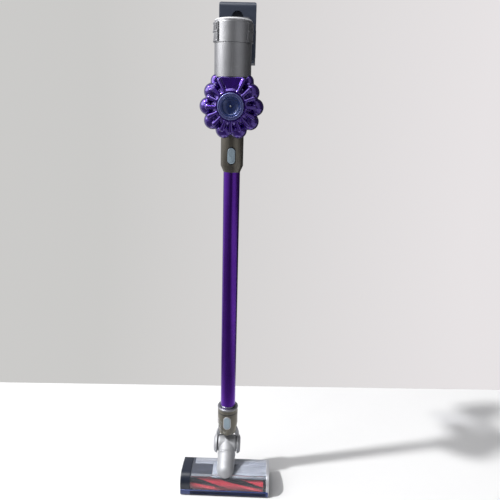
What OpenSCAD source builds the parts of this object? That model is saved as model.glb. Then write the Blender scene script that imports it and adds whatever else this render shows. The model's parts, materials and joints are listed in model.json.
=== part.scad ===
// Cordless stick vacuum hanging in its wall charging dock.
// Parts are drawn about the wand's axis with heights from the floor, then moved so that the origin
// lies on the wall, midway between the dock's two screws. +X is the viewer's right, +Y goes into the
// wall and +Z is up.

/* [Placing] */
// Height above the floor of the point midway between the dock's screws
mount_height = 1015; // [1010:1:1020]
// Distance from the wall to the wand's axis
wall_gap = 150; // [150:1:155]

/* [Dock] */
// Width of the dock
dock_w = 80; // [78:1:84]
// Height of the dock's top above the floor
dock_top = 1086; // [1080:1:1095]
// Depth of the dock's cover and back plate together
dock_t = 22; // [20:1:22]
// Radius of the dock's top corners, seen from the front
dock_corner = 5; // [4:1:10]
// Distance between the two wall screws
screw_pitch = 80; // [76:1:84]
// Radius of the wall screw holes
screw_r = 2.6; // [2.2:0.1:3]
// Radius of the rounded edge along the top of the dock's front
dock_edge = 10; // [6:1:12]
// Radius of the recess round each screw
recess_r = 12.5; // [10:0.5:13]

/* [Motor] */
// Outer radius of the motor housing
motor_r = 35.5; // [35:0.5:36]
// Distance from the wand's axis forward to the motor's axis
motor_forward = 20; // [19:1:21]
// Height of the housing's lower edge
motor_bottom = 922; // [921:0.5:923]
// Height of the seam between the motor housing and the exhaust housing
motor_seam = 982; // [981:1:983]
// Radius of the rotor shaft
shaft_r = 2.5; // [2:0.1:3]

/* [Handle and battery] */
// Width of the handle
handle_w = 34; // [32:1:36]
// Height of the handle's section
handle_h = 40; // [38:1:42]
// Height of the handle's lower face
handle_bottom = 960; // [959:1:961]
// Width of the battery
battery_w = 58; // [57:1:59]
// Travel of the trigger
trigger_travel = 3.5; // [2.5:0.5:3.5]

/* [Cyclones] */
// Height of the cyclone axis
cyclone_z = 868; // [867:1:869]
// Number of places for outer cyclones round the axis
lobe_count = 10; // [10:1:10]
// Radius of one outer cyclone's rounded head
lobe_r = 17; // [16:0.5:17.5]
// Distance from the cyclone axis to an outer cyclone's head
lobe_ring = 45; // [44:0.5:46]
// Radius of the filter cap
cap_r = 24.5; // [24:0.5:25]
// Radius of the filter bore along the cyclone axis
filter_bore = 15.2; // [15.1:0.1:15.5]

/* [Bin] */
// Outer radius of the bin
bin_r = 46; // [45.5:0.5:46.5]
// Wall of the bin
bin_wall = 2.5; // [2:0.5:3]
// Distance from the wand's axis back to the bin's open end
bin_back = 122; // [121:1:123]
// Radius of the door's hinge pin
pin_r = 1.5; // [1.2:0.1:2]

/* [Wand] */
// Outer radius of the wand
wand_r = 17.25; // [17:0.05:17.3]
// Outer radius of the wand's top collar
collar_r = 23.15; // [23:0.05:23.5]
// Height of the collar's top
collar_top = 820; // [818:1:820]
// Height of the wand tube's lower end
wand_bottom = 170; // [169:1:171]

/* [Neck] */
// Outer radius of the neck collar
neck_r = 23.5; // [23:0.5:24]
// Height of the neck's tilting axis
yoke_z = 78; // [77:1:79]
// Outer width of the yoke
yoke_w = 64; // [62:1:66]
// Radius of the bullet-shaped neck
bullet_r = 20.5; // [20:0.5:20.5]
// Angle of the bullet below the horizontal
bullet_drop = 26; // [25:1:27]

/* [Floor head] */
// Width of the floor head
head_w = 206; // [202:1:210]
// Distance from the wand's axis forward to the head's front
head_front = 86; // [85:1:87]
// Height of the brush bar's axis
brush_z = 20.5; // [20.5:0.5:21]
// Radius over the bristles
bristle_r = 20; // [19:0.25:20]
// Radius of the brush bar's core
core_r = 13; // [12:0.5:14]
// Radius of the rear wheels
wheel_r = 5.5; // [5:0.5:5.5]

/* [Hidden] */
$fn = 96;

dock_blue = "#3d4758";
silver = "#aab0b8";
grey = "#6e7076";
dark = "#2b2c31";
purple = "#3c1f8c";
clear = "#c8ccd4";
red = "#d82a2f";
copper = "#b87333";

skin = 2.5;
snug = 0.05;
free = 0.3;
over = 1;

dock_bottom = 959;
dock_front = wall_gap - dock_t;
back_plate_t = 4;
cradle_front = 92;
cradle_floor = 964;
cheek_top = 1036;
cheek_in = 29.6;
battery_front = 85;
battery_back = dock_front - 0.6;
battery_bottom = cradle_floor + free;
battery_top = 1048;
plug_half = 8.5;
plug_y = [100.5, 111.5];
plug_top = 971;
screws_z = [mount_height - screw_pitch / 2, mount_height + screw_pitch / 2];

motor_y = -motor_forward;
motor_back = motor_y + motor_r;
bin_release_z = [926, 942];
exhaust_top = 1018;
handle_screw_at = [[22, 990], [74, 972]];
trigger_stop = 972;
battery_screw_x = [-20, 20];
cap_top = 1024;
lobe_angle = 360 / lobe_count;
filter_seat = -66;
tier_r = 39.9;
finger_r = 3.6;
shoulder_r = 12;
facets = 28;
panel_w = 32;
finger_slope = 54;
tier_back = -24;
plate_back = -20;
shroud_r = 30;
shroud_end = 75;
hinge_y = bin_back + 4;
hinge_z = cyclone_z - bin_r - 4;
duct_r = 17;
socket_bottom = 765;
button_z = 773;
rim_top = 184;
neck_bottom = 113;
neck_button_z = 150;
ring_at = 26;
nose_at = 66;
ear_in = 23.4;
yoke_pin_r = 5;
pin_hole = yoke_pin_r + snug;
head_back = 4;
roof_r = 24;
roof_z = 24;
brush_y = roof_r - head_front;
sole_z = 1.5;
base_top = 7.2;
belt_r = 8;
drive_y = -19;
drive_z = 25;
wheel_x = 40;
wheel_y = -14;
head_left = -head_w / 2;
head_right = head_w / 2;
cap_in = head_left + 23;
window_end = head_right - 7;

module placed() translate([0, -wall_gap, -mount_height]) children();
module about_motor() translate([0, motor_y, 0]) children();
module about_cyclones() translate([0, 0, cyclone_z]) children();

module rod_x(r, from, to) translate([from, 0, 0]) rotate([0, 90, 0]) cylinder(r = r, h = to - from);
module rod_y(r, from, to) translate([0, from, 0]) rotate([-90, 0, 0]) cylinder(r = r, h = to - from);
module rod_z(r, from, to) translate([0, 0, from]) cylinder(r = r, h = to - from);

module tube_x(outer, inner, from, to) difference() {
    rod_x(outer, from, to);
    rod_x(inner, from - over, to + over);
}

module tube_y(outer, inner, from, to) difference() {
    rod_y(outer, from, to);
    rod_y(inner, from - over, to + over);
}

module tube_z(outer, inner, from, to) difference() {
    rod_z(outer, from, to);
    rod_z(inner, from - over, to + over);
}

// A block between two places on each axis
module block(x, y, z) translate([x[0], y[0], z[0]]) cube([x[1] - x[0], y[1] - y[0], z[1] - z[0]]);

// Extrudes a front outline (across, up) from one depth to another
module along_y(from, to) translate([0, to, 0]) rotate([90, 0, 0]) linear_extrude(to - from) children();

// Extrudes a side outline (depth, up) from one side to the other
module along_x(from, to) translate([from, 0, 0]) rotate([90, 0, 90]) linear_extrude(to - from) children();

// An upright outline with round ends
module pill(w, h) {
    square([w, h - w], center = true);
    for (end = [-1, 1]) translate([0, end * (h - w) / 2]) circle(w / 2);
}

// An outline with round corners, from its lowest corner to its highest
module rounded(low, high, r) {
    translate([low[0] + r, low[1]]) square([high[0] - low[0] - 2 * r, high[1] - low[1]]);
    translate([low[0], low[1] + r]) square([high[0] - low[0], high[1] - low[1] - 2 * r]);
    for (x = [low[0] + r, high[0] - r], z = [low[1] + r, high[1] - r]) translate([x, z]) circle(r);
}

// ---- Dock ----

module dock_outline(inset = 0) {
    r = dock_corner - inset;
    half = dock_w / 2 - inset;
    low = dock_bottom + inset;
    translate([-half, low]) square([2 * half, dock_top - dock_corner - low]);
    translate([r - half, low]) square([2 * (half - r), dock_top - inset - low]);
    for (side = [-1, 1]) translate([side * (half - r), dock_top - dock_corner]) circle(r);
}

module screw_holes() for (z = screws_z) translate([0, 0, z]) rod_y(screw_r, dock_front - over, wall_gap + over);

module dock_back() color(dark) placed() difference() {
    along_y(wall_gap - back_plate_t, wall_gap) dock_outline(1);
    screw_holes();
}

module dock_cover() color(dock_blue) placed() {
    back = wall_gap - back_plate_t;
    difference() {
        union() {
            difference() {
                along_y(dock_front, back) dock_outline();
                along_x(-dock_w, dock_w) difference() {
                    translate([dock_front - over, dock_top - dock_edge]) square(dock_edge + over);
                    translate([dock_front + dock_edge, dock_top - dock_edge]) circle(dock_edge);
                }
                along_y(dock_front + 3, back + over) dock_outline(3);
            }
            for (z = screws_z) translate([0, 0, z]) rod_y(recess_r + 2.5, dock_front, back);
        }
        for (z = screws_z) translate([0, 0, z]) rod_y(recess_r, dock_front - over, back - 5);
        screw_holes();
    }
}

module dock_cradle() color(dock_blue) placed() difference() {
    union() {
        block([-dock_w / 2, dock_w / 2], [cradle_front, dock_front], [dock_bottom, cradle_floor]);
        for (side = [0, 1]) mirror([side, 0, 0])
            block([cheek_in, dock_w / 2], [cradle_front + 6, dock_front], [dock_bottom, cheek_top]);
    }
    block([-plug_half, plug_half], plug_y, [dock_bottom + 2, cradle_floor + over]);
}

module charge_plug() color(dark) placed()
    block([-plug_half, plug_half], plug_y, [dock_bottom + 2, plug_top]);

module dock_contacts() color("gold") placed() for (x = [-4, 4])
    translate([x, (plug_y[0] + plug_y[1]) / 2, 0]) rod_z(1.2, plug_top, plug_top + 4);

// ---- Motor ----

module motor_housing() color(silver) placed() {
    pocket = [bin_release_z[0] - 3.8, bin_release_z[1] + free];
    difference() {
        union() {
            about_motor() tube_z(motor_r, motor_r - skin, motor_bottom, motor_seam - free);
            about_motor() rod_z(motor_r - skin, motor_bottom, motor_bottom + 3);
            block([-12, 12], [motor_back - 4, motor_back + 8], [motor_bottom, bin_release_z[1] + 4]);
        }
        about_motor() rod_z(motor_r - skin, motor_bottom + 3, motor_seam);
        block([-9.3, 9.3], [motor_back + 0.2, motor_back + 9], pocket);
        block([-7, 7], [-50, -28], [motor_bottom - over, motor_bottom + 4]);
    }
}

module exhaust_housing() color(silver) placed() about_motor() difference() {
    tube_z(motor_r, motor_r - skin, motor_seam, exhaust_top);
    for (side = [0, 1]) mirror([side, 0, 0]) block([25, 40], [-18, 18], [988, 1012]);
}

module vent_grilles() color(silver) placed() about_motor() for (side = [0, 1]) mirror([side, 0, 0])
    difference() {
        intersection() {
            tube_z(motor_r + 3.5, motor_r + snug, 985, exhaust_top);
            block([0, 45], [-27, 27], [980, 1020]);
        }
        for (slot = [-5:5]) translate([0, slot * 4.6, 0]) block([20, 45], [-1.2, 1.2], [989, 1008]);
    }

module top_cap() color(silver) placed() about_motor() difference() {
    union() {
        rod_z(motor_r, exhaust_top, cap_top - 2);
        translate([0, 0, cap_top - 2]) cylinder(r1 = motor_r, r2 = motor_r - 2, h = 2);
    }
    rod_z(9.3, exhaust_top - over, cap_top + over);
    translate([0, 0, cap_top - 1.5]) tube_z(27, 12, 0, 3);
}

module filter_tray() color(dark) placed() about_motor() difference() {
    rod_z(motor_r - skin - 0.1, 1001, 1004);
    for (turn = [0:45:315]) rotate(turn) translate([22, 0, 0]) rod_z(6, 1000, 1005);
}

module post_filter() color("white") placed() about_motor() tube_z(motor_r - skin - 0.1, 14, 1004, exhaust_top);

module stator() color(copper) placed() about_motor() {
    tube_z(24, 13, 950, 972);
    for (end = [948, 972]) tube_z(21, 15, end, end + 2);
}

module motor_cage() color(grey) placed() about_motor() difference() {
    union() {
        for (z = [942, 976]) rod_z(motor_r - skin, z, z + 5);
        for (turn = [45:90:315]) rotate(turn) block([24.5, 31], [-4, 4], [946, 977]);
    }
    rod_z(6, 940, 985);
    for (turn = [0:45:315]) rotate(turn + 22.5) translate([18, 0, 0]) rod_z(4.5, 940, 985);
}

module bearings() color("lightgray") placed() about_motor() for (z = [942, 976])
    tube_z(6, shaft_r + snug, z, z + 5);

module circuit_board() color("darkgreen") placed() about_motor() {
    tube_z(26, 5, 988, 990);
    for (turn = [0:120:240]) rotate(turn) translate([16, 0, 0]) rod_z(5, 990, 998);
    for (turn = [60:120:300]) rotate(turn) block([27, motor_r - skin - 0.2], [-3, 3], [985, 990]);
    for (turn = [60:120:300]) rotate(turn) block([20, 27], [-3, 3], [985, 988]);
}

module rotor_shaft() color("lightgray") placed() about_motor() {
    rod_z(shaft_r, 928, 983);
    rod_z(12, 950, 972);
}

module impeller() color(dark) placed() about_motor() difference() {
    union() {
        rod_z(27, 938, 940);
        translate([0, 0, 929]) cylinder(r1 = 5, r2 = 12, h = 9);
        for (turn = [0:30:330]) rotate(turn) block([4, 26], [-0.6, 0.6], [931, 938]);
    }
    rod_z(shaft_r, 925, 945);
}

module power_button() color(dock_blue) placed() about_motor() {
    rod_z(9, 1017, 1026);
    rod_z(11, 1015.6, 1017);
}

module power_spring() color("lightgray") placed() about_motor() tube_z(6, 5, 1004, 1015.6);

// ---- Handle ----

module handle_outline(inset = 0) rounded(
    [-handle_w / 2 + inset, handle_bottom + inset],
    [handle_w / 2 - inset, handle_bottom + handle_h - inset], 14 - inset);

module handle_shell() difference() {
    union() {
        difference() {
            along_y(motor_back - 12, battery_front) handle_outline();
            along_y(motor_back + 3, battery_front - 3) handle_outline(3);
        }
        for (at = handle_screw_at) translate([0, at[0], at[1]]) rod_x(4.5, -15, 15);
    }
    about_motor() rod_z(motor_r + snug, handle_bottom - over, handle_bottom + handle_h + over);
    block([-6.2, 6.2], [26, 50], [handle_bottom - over, handle_bottom + 4]);
    for (at = handle_screw_at) translate([0, at[0], at[1]]) {
        rod_x(1.6, -12, 18);
        rod_x(3.2, 13, 18);
    }
}

module handle_left() color(grey) placed() intersection() {
    handle_shell();
    block([-30, 0], [-10, 100], [940, 1020]);
}

module handle_right() color(grey) placed() intersection() {
    handle_shell();
    block([0, 30], [-10, 100], [940, 1020]);
}

module case_screws() color("lightgray") placed() {
    for (at = handle_screw_at) translate([0, at[0], at[1]]) {
        rod_x(1.6, -12, 13);
        rod_x(3.2, 13, 15);
    }
    for (x = battery_screw_x) translate([x, 106, 0]) {
        rod_z(2.6, battery_bottom + 0.6, battery_bottom + skin);
        rod_z(1.5, battery_bottom + skin, battery_bottom + 12);
    }
}

module trigger_switch() color(dark) placed() block([-6, 6], [27, 49], [trigger_stop, trigger_stop + 10]);

module trigger() color(red) placed() {
    block([-8, 8], [25, 51], [964.2, 965.8]);
    along_x(-5.8, 5.8) {
        translate([27, 950]) square([22, 14.2]);
        translate([31, 946]) square([14, 5]);
        for (y = [31, 45]) translate([y, 950]) circle(4);
    }
}

module trigger_spring() color("lightgray") placed()
    translate([0, 38, 0]) tube_z(3.5, 2.5, 965.8, trigger_stop);

module bin_release() color(red) placed() difference() {
    block([-9, 9], [motor_back + 0.6, motor_back + 10], bin_release_z);
    for (z = [bin_release_z[0] + 4:4:bin_release_z[1] - 3])
        block([-10, 10], [motor_back + 9.2, motor_back + 11], [z, z + 1.2]);
}

// ---- Battery ----

module battery_outline(inset = 0) rounded(
    [-battery_w / 2 + inset, battery_bottom + inset], [battery_w / 2 - inset, battery_top - inset], 7 - inset);

module battery_case() color(grey) placed() difference() {
    along_y(battery_front, battery_back) battery_outline();
    along_y(battery_front + skin, battery_back - skin) battery_outline(skin);
    block([-9, 9], [plug_y[0] - 0.5, plug_y[1] + 0.5], [battery_bottom - over, battery_bottom + 4]);
    for (x = battery_screw_x) translate([x, 106, 0]) rod_z(2.6, battery_bottom - over, battery_bottom + 5);
    block([-5, 5], [battery_front - over, battery_front + skin + over], [1036, 1040]);
}

module battery_cells() color("steelblue") placed() for (x = [-17.4, 0, 17.4], y = [97, 115.4])
    translate([x, y, 0]) rod_z(8.6, 979, 1044);

module battery_light() color("white") placed()
    block([-5, 5], [battery_front - 0.4, battery_front + skin], [1036, 1040]);

module charge_socket() color(dark) placed() difference() {
    block([-14, 14], [96, 116], [battery_bottom + skin, 978.5]);
    block([-9, 9], [plug_y[0] - 0.5, plug_y[1] + 0.5], [battery_bottom, plug_top + 1]);
    for (x = [-4, 4]) translate([x, (plug_y[0] + plug_y[1]) / 2, 0]) rod_z(1.5, plug_top, plug_top + 6);
}

// ---- Cyclones ----

// One outer cyclone: a rounded head with a cone that leans towards the axis behind it
module lobe(angle) rotate([0, -angle, 0]) translate([lobe_ring, -42, 0]) hull() {
    sphere(lobe_r, $fn = facets);
    rotate([0, 0, 28.8]) rod_y(12, 21, 22, $fn = facets);
}

module duct_outline() polygon([[-9, 886], [9, 886], [panel_w, motor_bottom], [-panel_w, motor_bottom]]);

module outer_cyclones() color(purple) placed() difference() {
    union() {
        about_cyclones() {
            rod_y(bin_r, tier_back, plate_back);
            for (place = [4:lobe_count + 1]) lobe(place * lobe_angle);
        }
        difference() {
            for (side = [-1, 1]) translate([side * 29, 0, 914]) hull() {
                translate([0, -39, 0]) sphere(shoulder_r, $fn = facets);
                rod_y(shoulder_r, -39, plate_back, $fn = facets);
            }
            about_motor() rod_z(motor_r + free, motor_bottom - free, 950);
        }
    }
    about_cyclones() {
        rod_y(tier_r + 0.1, -80, tier_back);
        rod_y(filter_bore, -80, 0);
    }
    block([-80, 80], [plate_back, 20], [780, 960]);
    along_y(-80, tier_back) duct_outline();
}

module inner_cyclones() color(purple) placed() difference() {
    about_cyclones() {
        rod_y(tier_r, -50, tier_back);
        translate([0, filter_seat, 0]) rotate([-90, 0, 0]) cylinder(r1 = 29, r2 = tier_r - 0.4, h = 17);
        for (finger = [7:22]) rotate([0, -finger * lobe_angle / 2, 0])
            translate([26, filter_seat, 0]) rotate([0, 0, finger_slope]) rod_x(finger_r, 0, 16);
    }
    about_cyclones() {
        rod_y(filter_bore, -80, 0);
        rod_y(cap_r + 1, -80, filter_seat);
    }
    along_y(-80, tier_back) duct_outline();
}

module air_duct() color(purple) placed() difference() {
    along_y(-60, tier_back) duct_outline();
    block([-7, 7], [-56, -28], [888, motor_bottom + over]);
    about_cyclones() rod_y(filter_bore, -80, 0);
    about_cyclones() rod_y(cap_r + 1, -80, filter_seat + 8);
}

module shroud() color("lightgray") placed() about_cyclones() difference() {
    union() {
        tube_y(shroud_r, shroud_r - 2, plate_back, shroud_end);
        rod_y(shroud_r, shroud_end - 2, shroud_end);
        tube_y(17, filter_bore, plate_back, 46);
        rod_y(17, 46, 48);
    }
    for (row = [0:5], turn = [0:15:345])
        rotate([0, turn, 0]) translate([0, -8 + row * 12, 0]) rod_z(1.8, 26, 32);
}

module shroud_wiper() color(dark) placed() about_cyclones() difference() {
    translate([0, 58, 0]) rotate([-90, 0, 0]) cylinder(r1 = shroud_r + 2, r2 = bin_r - bin_wall - 3, h = 10);
    translate([0, 60, 0]) rotate([-90, 0, 0]) cylinder(r1 = shroud_r + 1, r2 = bin_r - bin_wall - 5, h = 10);
    rod_y(shroud_r + 0.05, 50, 80);
}

// ---- Filter ----

module filter_cap() color(dock_blue) placed() about_cyclones() difference() {
    union() {
        rod_y(18.4, -78, filter_seat - 0.4);
        rod_y(14.6, filter_seat - 0.4, -56);
    }
    translate([0, -79, 0]) rotate([-90, 0, 0]) cylinder(r1 = 17.5, r2 = 11, h = 7);
}

module filter_ring() color("#767cb6") placed() about_cyclones() difference() {
    tube_y(cap_r, 18.5, -78, filter_seat - 0.4);
    translate([0, -79, 0]) tube_y(22.5, 20.5, 0, 2);
}

module filter_element() color("white") placed() about_cyclones() tube_y(14.6, 9, -56, 40);

// ---- Bin ----

module bin_tube() color(clear) placed() difference() {
    union() {
        about_cyclones() rod_y(bin_r, plate_back + free, bin_back);
        for (side = [0, 1]) mirror([side, 0, 0]) {
            block([8.3, 14], [bin_back - 14, bin_back], [hinge_z, hinge_z + 8]);
            translate([0, hinge_y, hinge_z]) rod_x(4, 8.3, 14);
            block([8.3, 14], [bin_back - over, hinge_y], [hinge_z - 4, hinge_z]);
            block([8.3, 14], [bin_back - 14, bin_back], [hinge_z - 4, hinge_z + over]);
        }
    }
    about_cyclones() rod_y(bin_r - bin_wall, -30, bin_back + over);
    rod_z(14.6, socket_bottom, cyclone_z - 20);
    translate([0, hinge_y, hinge_z]) rod_x(pin_r, -20, 20);
}

module inlet_duct() color(grey) placed() difference() {
    rod_z(duct_r, socket_bottom, cyclone_z - 30);
    rod_z(14.6, socket_bottom - over, cyclone_z);
    about_cyclones() rod_y(bin_r, -30, 60);
    for (x = [-6, 6]) block([x - 1.5, x + 1.5], [14, 18], [socket_bottom - over, socket_bottom + 12]);
}

module door_pin() color("lightgray") placed() translate([0, hinge_y, hinge_z]) rod_x(pin_r, -14, 14);

module bin_door() color(clear) placed() difference() {
    union() {
        about_cyclones() rod_y(bin_r - 0.2, bin_back + free, bin_back + 5);
        translate([0, hinge_y, hinge_z]) rod_x(4, -8, 8);
        block([-8, 8], [bin_back + free, bin_back + 5], [hinge_z, hinge_z + 8]);
    }
    translate([0, hinge_y, hinge_z]) rod_x(pin_r + snug, -20, 20);
    about_cyclones() tube_y(36, 33, bin_back + 4, bin_back + 6);
}

module door_seal() color(dark) placed() about_cyclones()
    tube_y(bin_r - bin_wall - 0.8, 38, bin_back - 2.5, bin_back + free);

// ---- Wand ----

module wand_tube() color(purple) placed() tube_z(wand_r, wand_r - 1.2, wand_bottom, socket_bottom - free);

module wand_collar() color("#5a564f") placed() difference() {
    rotate_extrude() polygon([
        [wand_r, 739], [collar_r, 752], [collar_r, collar_top - 1], [collar_r - 1, collar_top],
        [duct_r + 0.3, collar_top], [duct_r + 0.3, socket_bottom], [wand_r, socket_bottom]
    ]);
    translate([0, 0, button_z]) {
        along_y(-30, -20.6) pill(17, 36);
        along_y(-30, -18.6) pill(15.2, 32.4);
    }
}

module wand_button() color("#8fa3b0") placed() translate([0, 0, button_z]) {
    along_y(-24.2, -21.2) pill(14.8, 32);
    along_y(-25, -24.2) pill(12.8, 30);
}

module wand_spigot() color(grey) placed() difference() {
    rod_z(wand_r - 1.2, 138, 196);
    rod_z(13.5, 137, 197);
    for (x = [-6, 6]) block([x - 1.5, x + 1.5], [14, 18], [137, 150]);
}

// ---- Neck ----

module neck_collar() color("#6a675f") placed() difference() {
    union() {
        rotate_extrude() polygon([
            [13, neck_bottom], [18.75, neck_bottom], [neck_r, 140], [neck_r, 168],
            [neck_r, rim_top - 1], [neck_r - 1, rim_top], [wand_r + 0.35, rim_top],
            [wand_r + 0.35, wand_bottom - free], [16.4, wand_bottom - free], [16.4, 137], [13, 135]
        ]);
        for (side = [0, 1]) mirror([side, 0, 0]) {
            translate([0, 0, yoke_z]) rotate([0, 90, 0]) rotate_extrude() polygon([
                [0, ear_in], [22, ear_in], [21, 27], [17, 29.5], [11, yoke_w / 2], [0, yoke_w / 2]
            ]);
            block([12, 28], [-2, 13], [neck_bottom - 4, neck_bottom + 3]);
            block([ear_in, 28], [-2, 13], [yoke_z + 12, neck_bottom + 3]);
        }
    }
    translate([0, 0, neck_button_z]) {
        along_y(-30, -21) pill(18, 36);
        along_y(-30, -19) pill(15, 31);
    }
    rod_z(13, neck_bottom - 6, neck_bottom + 30);
    translate([0, 0, yoke_z]) rod_x(pin_hole, 4 - yoke_w / 2, yoke_w / 2 - 4);
}

module neck_button() color("#8fa3b0") placed() translate([0, 0, neck_button_z]) {
    along_y(-24.8, -21.4) pill(14.5, 30);
}

// Stands children on the bullet's axis, with +Z running from the yoke to the nose
module along_bullet() translate([0, 0, yoke_z]) rotate([90 + bullet_drop, 0, 0]) children();

module elbow() color(silver) placed() difference() {
    union() {
        translate([0, 0, yoke_z]) rod_x(20, -22.9, 22.9);
        translate([0, 0, yoke_z]) rod_x(yoke_pin_r, -28, 28);
        along_bullet() rod_z(bullet_r, 0, ring_at - free);
    }
    along_bullet() rod_z(13, 0, 40);
    rod_z(12, yoke_z, yoke_z + 30);
}

module neck_bullet() color(silver) placed() difference() {
    along_bullet() {
        rod_z(bullet_r, ring_at + 3, nose_at);
        rod_z(bullet_r + 0.8, ring_at, ring_at + 3);
        translate([0, 0, nose_at]) sphere(bullet_r);
    }
    along_bullet() rod_z(13, ring_at - 2, nose_at - 6);
    along_x(-40, 40) head_profile();
}

// ---- Floor head ----

// Side outline of the head: a round roof over the brush, running back down to the rear edge
module head_profile(inset = 0) {
    low = sole_z + inset;
    back = -head_back - inset;
    intersection() {
        translate([brush_y, roof_z]) circle(roof_r - inset);
        translate([-2 * head_front, low]) square(2 * head_front);
    }
    translate([inset - head_front, low]) square([roof_r - inset, roof_z - low]);
    polygon([
        [brush_y, low], [back, low], [back, 36 - inset], [back - 4, 40 - inset],
        [-34, 46 - inset], [brush_y, roof_z + roof_r - inset]
    ]);
}

module brush_axis() translate([0, brush_y, brush_z]) children();

module mouth(z) block([cap_in + 4, window_end - 6], [-82.5, -43], z);

module wheel_pins() for (side = [-1, 1])
    translate([side * wheel_x, wheel_y, wheel_r]) rod_x(1.5, -8, 8);

module head_base() color(dark) placed() {
    difference() {
        union() {
            block([cap_in, window_end], [-head_front, -head_back], [sole_z, base_top]);
            block([cap_in, window_end], [-head_front - 2.2, 0.4 - head_front], [sole_z + 1, sole_z + 11]);
            block([cap_in, window_end], [-41, -38.5], [sole_z, 40]);
        }
        mouth([0, 12]);
        for (side = [-1, 1]) translate([side * wheel_x, 0, 0]) block([-5.2, 5.2], [-21, -7], [0, 12]);
        wheel_pins();
        translate([0, -39, 22]) rotate([90, 0, 0]) cylinder(r = 10, h = 12, center = true);
    }
    wheel_pins();
}

module left_end_cap() color(dock_blue) placed() difference() {
    union() {
        difference() {
            along_x(head_left, cap_in) head_profile();
            along_x(head_left + 3, cap_in + over) head_profile(3);
        }
        brush_axis() rod_x(6, head_left + 2, head_left + 8);
    }
    brush_axis() rod_x(3 + snug, head_left + 3, head_left + 10);
}

module right_end_cap() color(clear) placed() difference() {
    union() {
        along_x(window_end, head_right) head_profile();
        brush_axis() rod_x(9, window_end - 3, window_end + over);
    }
    brush_axis() rod_x(3 + snug, window_end - 4, head_right - 3);
}

module head_window() color(clear) placed() difference() {
    along_x(cap_in, window_end) head_profile();
    along_x(cap_in - over, window_end + over) head_profile(2);
    block([cap_in - over, window_end + over], [-90, 0], [-5, base_top]);
    block([cap_in - over, window_end + over], [-90, brush_y], [-5, 13]);
    translate([0, -30, 0]) rod_z(12, 20, 80);
}

module rear_duct() color(silver) placed() translate([0, drive_y, drive_z]) {
    tube_x(12, 10.5, cap_in + 1, -14);
    tube_x(12, 10.5, 14, window_end - 1);
}

module brush_drive() color(dark) placed() {
    turn = atan2(drive_z - brush_z, drive_y - brush_y);
    reach = norm([drive_y - brush_y, drive_z - brush_z]);
    translate([0, drive_y, drive_z]) rod_x(10.5, head_left + 16, -20);
    translate([0, drive_y, drive_z]) rod_x(belt_r, head_left + 9, head_left + 16);
    difference() {
        belt_loop(belt_r + 1.6, head_left + 9.5, head_left + 12, reach, turn);
        belt_loop(belt_r + 0.1, head_left + 8, head_left + 14, reach, turn);
    }
}

module belt_loop(r, from, to, reach, turn) along_x(from, to) translate([brush_y, brush_z]) rotate(turn) {
    circle(r);
    translate([reach, 0]) circle(r);
    translate([0, -r]) square([reach, 2 * r]);
}

module brush_core() color(dark) placed() brush_axis() {
    rod_x(core_r, head_left + 14, window_end - 5);
    rod_x(belt_r, head_left + 9, head_left + 14);
    rod_x(3, head_left + 5, head_right - 5);
}

module brush_bristles() color(red) placed() brush_axis() {
    from = cap_in + 5;
    length = window_end - 7 - from;
    for (row = [0:3]) rotate([row * 90, 0, 0]) translate([from, 0, 0]) rotate([90, 0, 90])
        linear_extrude(length, twist = -150, slices = 28, $fn = 4)
            translate([core_r + 0.1, -2]) square([bristle_r - core_r - 0.3, 4]);
}

module rear_wheels() color(dark) placed() for (side = [-1, 1])
    translate([side * wheel_x, wheel_y, wheel_r]) tube_x(wheel_r, 1.5 + snug, -4.5, 4.5);

dock_back();
dock_cover();
dock_cradle();
charge_plug();
dock_contacts();
motor_housing();
exhaust_housing();
vent_grilles();
top_cap();
post_filter();
filter_tray();
stator();
motor_cage();
bearings();
circuit_board();
handle_left();
handle_right();
case_screws();
trigger_switch();
battery_case();
battery_cells();
battery_light();
charge_socket();
outer_cyclones();
inner_cyclones();
air_duct();
shroud();
shroud_wiper();
rotor_shaft();
impeller();
power_button();
power_spring();
trigger();
trigger_spring();
bin_release();
filter_cap();
filter_ring();
filter_element();
bin_tube();
inlet_duct();
door_pin();
bin_door();
door_seal();
wand_tube();
wand_collar();
wand_spigot();
wand_button();
neck_collar();
neck_button();
elbow();
neck_bullet();
head_base();
left_end_cap();
right_end_cap();
head_window();
rear_duct();
brush_drive();
brush_core();
brush_bristles();
rear_wheels();
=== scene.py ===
"""Looks for the cordless stick vacuum in its wall dock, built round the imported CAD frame."""
import json
import math
import random

import bmesh
import bpy
from mathutils import Matrix, Vector


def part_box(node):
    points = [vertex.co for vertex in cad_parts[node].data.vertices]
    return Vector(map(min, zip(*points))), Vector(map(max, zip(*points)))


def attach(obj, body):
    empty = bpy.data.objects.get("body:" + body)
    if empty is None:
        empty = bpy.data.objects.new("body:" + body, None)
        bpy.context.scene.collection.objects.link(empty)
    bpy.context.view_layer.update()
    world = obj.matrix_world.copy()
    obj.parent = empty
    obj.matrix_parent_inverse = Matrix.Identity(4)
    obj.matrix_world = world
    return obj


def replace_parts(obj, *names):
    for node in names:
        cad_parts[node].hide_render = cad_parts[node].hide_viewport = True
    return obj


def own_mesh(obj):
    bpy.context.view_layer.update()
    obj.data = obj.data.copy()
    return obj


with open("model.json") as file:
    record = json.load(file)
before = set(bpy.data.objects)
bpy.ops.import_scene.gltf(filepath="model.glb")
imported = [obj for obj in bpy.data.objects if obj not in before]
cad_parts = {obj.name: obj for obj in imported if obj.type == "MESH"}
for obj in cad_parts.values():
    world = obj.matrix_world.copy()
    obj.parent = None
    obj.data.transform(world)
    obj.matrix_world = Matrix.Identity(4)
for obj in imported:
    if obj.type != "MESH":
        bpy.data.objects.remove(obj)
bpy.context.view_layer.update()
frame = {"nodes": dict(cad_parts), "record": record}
MM = 0.001
BODY_OF = {node: body for body, nodes in frame["record"]["behaviour"]["bodies"].items() for node in nodes}
SLOT_OF = {part["node"]: part["material_slot"] for part in frame["record"]["subparts"]}


# ---------------------------------------------------------------- materials

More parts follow.
